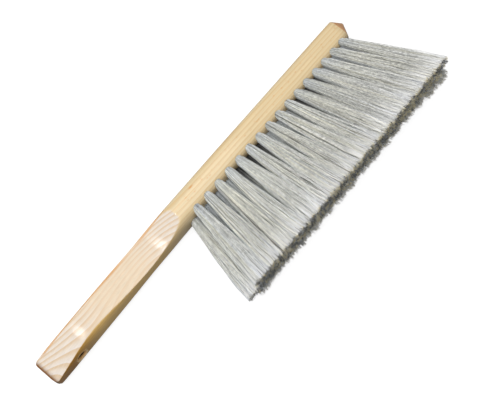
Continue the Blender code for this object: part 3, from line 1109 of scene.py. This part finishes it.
    def _mark_surfaces(self, bar: bpy.types.Object) -> None:
        """Stores the flats, the end grain, and painted shade and light on back, belly, butt and
        bore.
        """
        marks, size = self.marks, self.bar
        points = read_points(bar)
        station = size.station_at(points[:, 0])
        inside = np.clip(station, 0.0, size.length)
        level = points[:, 1] / np.where(points[:, 1] > 0, size.back(inside), size.belly(inside))
        turned = size.width(inside) * (
            1 - np.clip(np.abs(level), 0, 1) ** size.fullness) ** (1 / size.fullness)
        side = points[:, 2] - size.half_width
        off_axis = np.abs(side)
        flat = size.half_width - size.flat_depth(station)
        planed = np.clip((turned - flat) / marks.blur, 0, 1) * (off_axis < flat + marks.blur)
        from_bore = np.hypot(station - self.hang_hole_from_butt, side)
        in_bore = from_bore < self.hang_hole_diameter / 2 + marks.bore_margin
        depth = points[:, 1] + float(size.belly(self.hang_hole_from_butt))
        # The back edge's painted shade starts higher up towards the nose.
        ring_start = blend(*marks.ring_levels, smooth_step(
            (station - marks.ring_shift) / marks.ring_shift_run))
        on_shoulder = smooth_step((off_axis / size.width(inside) - marks.shoulder)
                                  / marks.shoulder_run) * (side > 0)
        # The painted belly shade: the turned underside of the grip, clear of the hang hole's rim.
        belly = smooth_step((-level - marks.belly) / marks.belly_run) * (1 - planed)
        belly *= 1 - smooth_step((station - marks.belly_end) / marks.belly_end_run)
        belly *= from_bore > self.hang_hole_rim / 2 + marks.rim_margin
        gold = blend(1.0, self.finish.belly_share, smooth_step(
            (station - marks.gold_end) / marks.gold_end_run))
        values = {
            "planed": planed * (1 - in_bore),
            # Painted shade along the back edge.
            "back_edge_shade": marks.ring_strength * on_shoulder * smooth_step(
                (level - ring_start) / marks.ring_run),
            # Painted warm shade on the grip's belly.
            "painted_belly_shade": belly * gold,
            "nose_grain": np.clip((station - size.length) / marks.blur, 0, 1),
            # Painted light on the hang hole's wall, and painted shadow deeper in.
            "bore_lit_wall": marks.bore_strength * in_bore,
            "bore_shadow": np.clip((depth - self.bore_levels[0]) / marks.bore_fade, 0, 1) * in_bore,
            # The butt's end grain, darkened further with painted shade.
            "butt_grain_shade": np.clip(1 - (station - marks.butt_start) / marks.butt_fade, 0, 1)}
        for name, value in values.items():
            mark = bar.data.attributes.new(name, "FLOAT", "POINT")
            mark.data.foreach_set("value", value.astype(np.float32))


# Which share of a row's cut ends is painted dark as shade, and how strongly the ends show.
CUT_ENDS = {Row.NEAR: (0.66, 1.0), Row.MIDDLE: (0.72, 1.0), Row.FAR: (0.3, 0.45)}


@dataclass(frozen=True)
class StrandPattern:
    """The modelled filament: each point's offset and loop, and the faces between the points."""

    section: np.ndarray
    loop: np.ndarray
    faces: list[tuple[int, ...]]


@dataclass
class Strand:
    """One bristle: a three-sided filament with a loop at each share of its length."""

    thickness: float = 0.00032
    sides: int = 3
    tip_taper: float = 0.75
    loops: tuple[float, ...] = (-0.07, 0.0, 0.013, 0.04, 0.10, 0.17, 0.25, 0.33, 0.41, 0.49,
                                0.57, 0.65, 0.73, 0.81, 0.89, 0.95, 0.985, 1.0)

    def model(self) -> StrandPattern:
        """Models the filament once, for all its copies.

        Returns:
            Its points and faces, standing on the origin and one high.
        """
        count = len(self.loops)
        piece = new_primitive(
            bpy.ops.mesh.primitive_cylinder_add, "strand_pattern", vertices=self.sides,
            radius=self.thickness / 2, depth=1.0, end_fill_type="NGON", location=(0, 0, 0.5))
        settle(piece)
        bpy.ops.object.mode_set(mode="EDIT")
        pick_edges(piece, lambda edge: abs(edge.verts[0].co.z - edge.verts[1].co.z) > 0.5)
        bpy.ops.mesh.subdivide(number_cuts=count - 2)
        pick_points(piece, lambda place: place.z > 0.999)
        bpy.ops.transform.resize(value=(self.tip_taper, self.tip_taper, 1.0),
                                 center_override=(0.0, 0.0, 1.0))
        bpy.ops.object.mode_set(mode="OBJECT")
        places = np.array([point.co for point in piece.data.vertices])
        faces = [tuple(face.vertices) for face in piece.data.polygons]
        bpy.data.objects.remove(piece, do_unlink=True)
        loop = np.rint(places[:, 2] * (count - 1)).astype(int)
        return StrandPattern(places[:, :2], loop, faces)


@dataclass
class TuftRow:
    """One row of sixteen tufts, each drawn strand by strand from its hole to the trim.

    Sizes are in metres; pulls, shares and strengths are from 0 to 1.
    """

    row: Row
    plan: TuftPlan
    strand: Strand
    material: bpy.types.Material
    strands: int = 300
    root_radius: float = 0.0031
    root_scatter: float = 0.02
    mouth_radius: float = 0.0036
    mouth_run: float = 0.0006
    mouth_opening: float = 0.45
    squareness: float = 0.85
    fan_power: float = 0.75
    bow_power: float = 1.25
    tip_fill: float = 1.06
    row_fill: float = 1.04
    locks: int = 9
    lock_pull: float = 0.10
    clumps: int = 180
    clump_pull: float = 0.5
    least_pull: float = 0.4
    wander: float = 0.0004
    wander_power: float = 1.5
    tuft_wander: float = 0.0005
    crimp: float = 0.00030
    crimp_length: float = 0.026
    crimp_skew: float = 0.9
    crimp_lag: float = 1.0
    patch_grid: int = 64
    patch_origin: float = 0.02
    ragged: float = 0.0006
    far_ragged: float = 0.0014
    trim_shares: tuple[float, float, float] = (0.4, 0.5, 0.8)
    trim_limit: float = 0.0019
    far_shorter: float = 0.0007
    far_rounding: float = 0.0014
    far_nose_longer: float = 0.0016
    far_nose_after: int = 13
    height_limit: float = 0.0360
    bench_gap: float = 0.0003
    bench_scatter: float = 0.0004
    skin_fall: float = 0.8
    # Middle tufts in the widest gaps get deep painted shade; the gloom fields set painted shade
    # near the wood.
    dark_gaps: tuple[int, ...] = (4, 5, 6, 10, 11, 12)
    dark_gap_gloom: float = 0.95
    light_gap_gloom: float = 0.12
    flank_gloom: float = 0.4
    flank_from: float = 0.80
    flank_run: float = 0.25
    first_far_gloom: float = 0.35
    gloom_length: float = 0.5
    nose_thinning: float = 0.022
    end_mottle: float = 0.06
    end_depth_from: float = 0.06
    end_depth_run: float = 0.2
    end_from: float = 0.982
    end_run: float = 0.012
    seed: int = 67

    def build(self) -> list[bpy.types.Object]:
        """Builds every tuft of the row.

        Returns:
            The tufts, riding on the brush and standing for their CAD solids.
        """
        pattern = self.strand.model()
        pieces = []
        for rank in range(self.plan.row_tufts):
            name = f"{self.row.name.lower()}_tuft_{rank + 1:02d}"
            piece = self._tuft(name, rank, pattern)
            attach(piece, BODY)
            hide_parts(f"tuft_{self.row.name.lower()}_{rank + 1:02d}")
            pieces.append(piece)
        return pieces

    def _tip_half_length(self, rank: int) -> float:
        """Half of the room that a tuft's tip has along its row."""
        near = self.plan.tip_x(self.plan.station(self.row.value, rank))
        gaps = [abs(self.plan.tip_x(self.plan.station(self.row.value, other)) - near)
                for other in (rank - 1, rank + 1) if 0 <= other < self.plan.row_tufts]
        return min(gaps) / 2 * self.tip_fill

    def _patch_size(self) -> tuple[float, float]:
        """Sides of the small patches in which the shears left bristles alike."""
        return (1.9 * MM, 3.0 * MM) if self.row is Row.FAR else (1.6 * MM, 5.0 * MM)

    def _spread(self, random: np.random.Generator) -> dict[str, np.ndarray]:
        """Scatters the strands over the tuft and gathers them in small clumps at the trim.

        Args:
            random: Seeded source of random numbers.

        Returns:
            Root and tip places as shares of the tuft's half sizes, clump and random numbers.
        """
        index = np.arange(self.strands) + 0.5
        radius = np.sqrt(index / self.strands)
        angle = index * math.pi * (3 - math.sqrt(5)) + random.uniform(0, math.tau)
        root = np.stack([radius * np.cos(angle), radius * np.sin(angle)], axis=1)
        swell = self.plan.mouth_swell(angle, self.row.value)
        root *= swell[:, None]
        root += random.normal(0, self.root_scatter, root.shape)
        # A round root fans out to a nearly square tip, so that neighbouring tips close up.
        stretch = 1 / np.maximum(np.abs(np.cos(angle)), np.abs(np.sin(angle)))
        stretch /= swell
        square = root * blend(1.0, stretch, self.squareness)[:, None]
        drawn, clump = square, None
        for count, pull in ((self.locks, self.lock_pull), (self.clumps, self.clump_pull)):
            centres = random.uniform(-1, 1, (count, 2))
            clump = np.argmin(((drawn[:, None] - centres[None]) ** 2).sum(2), axis=1)
            share = pull * random.uniform(self.least_pull, 1, (self.strands, 1))
            drawn = blend(drawn, centres[clump], share)
        return {"root": root, "square": square, "tip": drawn,
                "clump_tone": random.uniform(0, 1, self.clumps)[clump],
                "clump_phase": random.uniform(0, math.tau, self.clumps)[clump],
                "tone": random.uniform(0, 1, self.strands),
                "drift": random.normal(0, 1, (self.strands, 2)),
                "trim": random.normal(0, 1, self.strands),
                "clump_trim": random.normal(0, 1, self.clumps)[clump]}

    def _lay_patches(self, spread: dict[str, np.ndarray], half: np.ndarray,
                     random: np.random.Generator) -> None:
        """Gives the strands that end in one small patch of the trim their common numbers.

        Args:
            spread: Root and tip places and random numbers, to which the patches' are added.
            half: Half sizes of the tuft's trimmed end.
            random: Seeded source of random numbers.
        """
        place = spread["tip"] * half + self.patch_origin
        patch = np.floor(place / np.array(self._patch_size())).astype(int)
        grid = (self.patch_grid, self.patch_grid)
        spread["patch"] = random.uniform(0, 1, grid)[patch[:, 0], patch[:, 1]]
        spread["patch_trim"] = random.normal(0, 1, grid)[patch[:, 0], patch[:, 1]]

    def _offsets(self, spread: dict[str, np.ndarray], half: np.ndarray, length: float,
                 random: np.random.Generator) -> np.ndarray:
        """Where each strand runs beside the tuft's middle line.

        Args:
            spread: Root and tip places and random numbers.
            half: Half sizes of the tuft's trimmed end.
            length: Distance from the hole's mouth to the trim.
            random: Seeded source of random numbers.

        Returns:
            Distances along X and Z, for each strand and loop.
        """
        out = np.clip(np.array(self.strand.loops), 0, 1)[None, :, None]
        freed = 1 - np.exp(-out * length / self.mouth_run)
        radius = blend(self.root_radius, self.mouth_radius, freed)
        narrow = blend(spread["root"][:, None], spread["square"][:, None],
                       self.mouth_opening * freed) * radius
        wide = spread["tip"][:, None] * half
        offset = blend(narrow, wide, smooth_step(out ** self.fan_power))
        offset = offset + spread["drift"][:, None] * self.wander * out ** self.wander_power
        offset = offset + random.normal(0, 1, 2) * self.tuft_wander * out * (1 - out) * 4
        along = out[..., 0]
        fade = np.sin(along * math.pi * 0.5) ** 2
        turn = along * length / self.crimp_length * math.tau + spread["clump_phase"][:, None]
        offset[..., 0] += self.crimp * fade * np.sin(turn)
        offset[..., 1] += self.crimp * fade * np.cos(turn * self.crimp_skew + self.crimp_lag)
        return offset

    def _middle_line(self, station: float, mouth: np.ndarray, length: float) -> np.ndarray:
        """The tuft's middle line, from inside its hole to the trim.

        Args:
            station: Place of the tuft's hole along the bar.
            mouth: Middle of the hole's mouth.
            length: Distance from there to the trim.

        Returns:
            A place for each loop, in an array with one line.
        """
        row = self.row.value
        lean, splay = self.plan.slope(row, station)
        # The far row's tips lie half a spacing above the bench, and each row one more.
        tip_z = self.plan.tip_row_spacing * (row + 1.5)
        share = np.array(self.strand.loops)
        outside, inside = np.clip(share, 0, None), np.minimum(share, 0)
        line = np.empty((1, len(share), 3))
        line[0, :, 0] = blend(mouth[0], self.plan.tip_x(station), outside) + lean * length * inside
        line[0, :, 1] = mouth[1] - length * share
        line[0, :, 2] = blend(mouth[2] + splay * length * outside * (1 - outside), tip_z,
                              outside ** self.bow_power)
        line[0, :, 2] += splay * length * inside
        return line

    def _uneven_trim(self, rank: int, spread: dict[str, np.ndarray]) -> np.ndarray:
        """How far each strand ends short of the trimmed face.

        Args:
            rank: Count along the row.
            spread: Root and tip places and random numbers.

        Returns:
            The distance for each strand, less than zero where it stands past the face.
        """
        ragged = self.far_ragged if self.row is Row.FAR else self.ragged
        single, clump, patch = self.trim_shares
        uneven = (spread["trim"] * single + spread["clump_trim"] * clump
                  + spread["patch_trim"] * patch)
        uneven = np.clip(uneven * ragged, -self.trim_limit, self.trim_limit)
        if self.row is Row.FAR:
            # The far tufts are rounded off at their ends, and a little longer at the nose.
            uneven += (self.far_shorter + self.far_rounding * spread["square"][:, 0] ** 2
                       - self.far_nose_longer * (rank > self.far_nose_after))
            uneven = np.maximum(uneven, -self.trim_limit)
        return uneven

    def _tuft(self, name: str, rank: int, pattern: StrandPattern) -> bpy.types.Object:
        """Builds one tuft.

        Args:
            name: Name of the piece.
            rank: Count along the row.
            pattern: The modelled strand.

        Returns:
            The tuft as one object.
        """
        row = self.row.value
        random = np.random.default_rng(self.seed + 100 * (row + 1) + rank)
        station = self.plan.station(row, rank)
        mouth = np.array(self.plan.mouth(row, station))
        length = self.plan.trim_height + mouth[1]
        half = np.array([self._tip_half_length(rank),
                         self.plan.tip_row_spacing / 2 * self.row_fill])
        spread = self._spread(random)
        self._lay_patches(spread, half, random)
        offset = self._offsets(spread, half, length, random)
        path = np.repeat(self._middle_line(station, mouth, length), self.strands, axis=0)
        path[..., 0] += offset[..., 0]
        path[..., 2] += offset[..., 1]
        share = np.array(self.strand.loops)
        path[..., 1] += self._uneven_trim(rank, spread)[:, None] * np.clip(share, 0, None)
        floor = self.bench_gap + np.abs(spread["drift"][:, :1]) * self.bench_scatter
        path[..., 2] = np.where(share[None] > 0, np.clip(path[..., 2], floor, self.height_limit),
                                path[..., 2])
        return self._mesh(name, rank, path, spread, pattern)

    def _mesh(self, name: str, rank: int, path: np.ndarray, spread: dict[str, np.ndarray],
              pattern: StrandPattern) -> bpy.types.Object:
        """Copies the modelled strand along each path and joins the copies in one mesh.

        Args:
            name: Name of the piece.
            rank: Count along the row.
            path: A place for each strand and loop.
            spread: Root and tip places and random numbers.
            pattern: The modelled strand.

        Returns:
            The tuft's object.
        """
        points = path[:, pattern.loop].copy()
        twist = spread["tone"][:, None] * math.tau
        across, beside = pattern.section[None, :, 0], pattern.section[None, :, 1]
        points[..., 0] += across * np.cos(twist) - beside * np.sin(twist)
        points[..., 2] += across * np.sin(twist) + beside * np.cos(twist)
        per_strand = len(pattern.section)
        faces = [tuple(corner + count * per_strand for corner in face)
                 for count in range(self.strands) for face in pattern.faces]
        data = bpy.data.meshes.new(name)
        data.from_pydata(points.reshape(-1, 3).tolist(), [], faces)
        self._mark_strands(data, rank, np.array(self.strand.loops)[pattern.loop], spread)
        data.materials.append(self.material)
        piece = bpy.data.objects.new(name, data)
        bpy.context.scene.collection.objects.link(piece)
        make_active(piece)
        bpy.ops.object.mode_set(mode="EDIT")
        bpy.ops.mesh.select_all(action="SELECT")
        bpy.ops.mesh.normals_make_consistent(inside=False)
        bpy.ops.object.mode_set(mode="OBJECT")
        return piece

    def _gloom(self, rank: int, share: np.ndarray, spread: dict[str, np.ndarray]) -> np.ndarray:
        """How deep each strand lies in shadow: near the wood, and down the far row's first tuft.

        Args:
            rank: Count along the row.
            share: Share of the length at each point of a strand.
            spread: Root and tip places and random numbers.

        Returns:
            The gloom for each strand and point.
        """
        near_wood = 1 - smooth_step(share[None] / self.gloom_length)
        if self.row is Row.MIDDLE:
            gap = self.dark_gap_gloom if rank in self.dark_gaps else self.light_gap_gloom
            return gap * near_wood * np.ones((self.strands, 1))
        if rank > 0:
            flank = smooth_step((np.abs(spread["root"][:, :1]) - self.flank_from) / self.flank_run)
            return self.flank_gloom * flank * near_wood
        gloom = np.zeros((self.strands, len(share)))
        if self.row is Row.FAR:
            gloom += self.first_far_gloom * smooth_step(-spread["tip"][:, :1])
        return gloom

    def _mark_strands(self, data: bpy.types.Mesh, rank: int, share: np.ndarray,
                      spread: dict[str, np.ndarray]) -> None:
        """Stores what the bristle's finish needs to know of each strand.

        Args:
            data: The tuft's mesh.
            rank: Count along the row.
            share: Share of the length at each point of a strand.
            spread: Root and tip places and random numbers.
        """
        tone = spread["tone"][:, None]
        outward = spread["tip"][:, 1:] * (-1 if self.row is Row.FAR else 1)
        # How deep each strand lies in its tuft; this sets its painted cool shade and how dark its
        # cut end shows.
        depth = np.clip((1 - outward) * self.skin_fall, 0, 1)
        if self.row is Row.MIDDLE and rank > 0:
            depth = np.ones_like(depth)
        colour = np.ones((self.strands, len(share), 4), np.float32)
        colour[..., 0] = spread["clump_tone"][:, None]
        colour[..., 1] = np.clip(share, 0, 1)[None]
        colour[..., 2] = depth
        colour[..., 3] = tone
        dark_share, strength = CUT_ENDS[self.row]
        # Patches of cut ends painted dark as shade, fewer towards the nose.
        dark = spread["patch"][:, None] < dark_share - self.nose_thinning * rank
        end_tone = blend(np.where(dark, 1.0, 0.0), tone, self.end_mottle)
        end_tone = end_tone * np.ones_like(share)[None]
        ends = strength * smooth_step((depth - self.end_depth_from) / self.end_depth_run)
        cut = smooth_step((share[None] - self.end_from) / self.end_run) * ends
        for name, kind, value in (
                ("strand", "FLOAT_COLOR", colour), ("cut_end", "FLOAT", cut),
                ("gloom", "FLOAT", self._gloom(rank, share, spread)),
                ("end_tone", "FLOAT", end_tone)):
            mark = data.attributes.new(name, kind, "POINT")
            mark.data.foreach_set("color" if kind == "FLOAT_COLOR" else "value",
                                  value.astype(np.float32).ravel())


@dataclass
class Bench:
    """A plain pale floor that shows white to the camera and keeps the brush's shadow."""

    side: float = 4.0
    colour: str = "#9C9C9C"
    lift: float = 0.85
    roughness: float = 0.9

    def build(self) -> bpy.types.Object:
        """Lays the floor under the brush.

        Returns:
            The floor.
        """
        floor = new_primitive(bpy.ops.mesh.primitive_plane_add, "bench_top", size=self.side)
        material = bpy.data.materials.new("matt_white_bench")
        material.use_nodes = True
        tree = material.node_tree
        shader = tree.nodes["Principled BSDF"]
        shader.inputs["Base Color"].default_value = linear(self.colour)
        shader.inputs["Roughness"].default_value = self.roughness
        seen = add_node(tree, "ShaderNodeLightPath")
        strength = add_node(tree, "ShaderNodeMath", {
            0: seen.outputs["Is Camera Ray"], 1: self.lift}, operation="MULTIPLY")
        shader.inputs["Emission Color"].default_value = linear("#FFFFFF")
        tree.links.new(strength.outputs["Value"], shader.inputs["Emission Strength"])
        floor.data.materials.append(material)
        return floor


@dataclass
class StudioLight:
    """A large soft box up and behind the back of the brush, a small lamp, and a pale surround."""

    key_place: tuple[float, float, float] = (-0.25, 0.18, 1.30)
    key_size: float = 1.3
    key_power: float = 16.6
    lamp_place: tuple[float, float, float] = (-0.212, 0.268, 0.80)
    lamp_width: float = 0.06
    lamp_depth: float = 0.006
    lamp_power: float = 0.068
    aim: tuple[float, float, float] = (0.0, -0.01, 0.0)
    surround: float = 0.26

    def build(self) -> None:
        """Adds the lamps and the surround."""
        self._area("soft_box", self.key_place, self.key_size, self.key_size, self.key_power)
        self._area("small_lamp", self.lamp_place, self.lamp_width, self.lamp_depth,
                   self.lamp_power)
        world = bpy.data.worlds.new("pale_surround")
        world.use_nodes = True
        tree = world.node_tree
        back = tree.nodes["Background"]
        seen = add_node(tree, "ShaderNodeLightPath")
        strength = add_node(tree, "ShaderNodeMapRange", {
            "Value": seen.outputs["Is Camera Ray"], "To Min": self.surround, "To Max": 1.0})
        tree.links.new(strength.outputs["Result"], back.inputs["Strength"])
        back.inputs["Color"].default_value = linear("#FFFFFF")
        bpy.context.scene.world = world

    def _area(self, name: str, place: tuple[float, float, float], width: float, depth: float,
              power: float) -> None:
        """Adds one lamp that looks at the brush.

        Args:
            name: Name of the lamp.
            place: Where it stands, in metres.
            width: Its side along the brush, in metres.
            depth: Its other side in metres.
            power: Its power in watts.
        """
        data = bpy.data.lights.new(name, "AREA")
        data.shape = "RECTANGLE"
        data.size = width
        data.size_y = depth
        data.energy = power
        lamp = bpy.data.objects.new(name, data)
        away = (Vector(place) - Vector(self.aim)).normalized()
        side = away.cross(Vector((1.0, 0.0, 0.0))).normalized()
        turn = Matrix((side.cross(away), side, away)).transposed().to_4x4()
        lamp.matrix_world = Matrix.Translation(place) @ turn
        bpy.context.scene.collection.objects.link(lamp)


@dataclass
class PhotoCamera:
    """The photograph's viewpoint: above the brush, a little to the bristle side, turned."""

    aim: tuple[float, float, float] = (0.01994, -0.02844, 0.0)
    distance: float = 0.93888
    azimuth: float = -9.368
    elevation: float = 17.067
    roll: float = -52.323
    lens: float = 93.603

    def build(self) -> bpy.types.Object:
        """Adds the camera and makes it the scene's.

        Returns:
            The camera.
        """
        azimuth, elevation, roll = (math.radians(angle) for angle in
                                    (self.azimuth, self.elevation, self.roll))
        back = Vector((math.sin(azimuth) * math.cos(elevation), -math.sin(elevation),
                       math.cos(azimuth) * math.cos(elevation)))
        right = Vector((0.0, 1.0, 0.0)).cross(back).normalized()
        up = back.cross(right)
        turned_right = math.cos(roll) * right + math.sin(roll) * up
        turned_up = math.cos(roll) * up - math.sin(roll) * right
        data = bpy.data.cameras.new("photo_camera")
        data.lens = self.lens
        data.sensor_width = 36.0
        data.sensor_fit = "HORIZONTAL"
        data.clip_start = 0.01
        camera = bpy.data.objects.new("photo_camera", data)
        turn = Matrix((turned_right, turned_up, back)).transposed().to_4x4()
        camera.matrix_world = Matrix.Translation(Vector(self.aim) + self.distance * back) @ turn
        bpy.context.scene.collection.objects.link(camera)
        bpy.context.scene.camera = camera
        return camera


def main() -> None:
    """Builds the brush, its stage, the light and the camera, and logs each group of pieces."""
    logging.basicConfig(level=logging.INFO, format="%(name)s: %(message)s")
    bar = BarShape()
    plan = TuftPlan(bar)
    block = HandleBlock(bar, plan, LacqueredPine()).build()
    LOG.info("%s: %d faces", block.name, len(block.data.polygons))
    bristle = PolyesterBristle().make()
    strand = Strand()
    for row in Row:
        tufts = TuftRow(row, plan, strand, bristle).build()
        LOG.info("%s row: %d tufts, %d faces each", row.name.lower(), len(tufts),
                 len(tufts[0].data.polygons))
    Bench().build()
    StudioLight().build()
    PhotoCamera().build()
    bpy.context.scene.view_settings.view_transform = "Standard"
    LOG.info("bench, light and camera are in place")


if __name__ == "__main__":
    main()
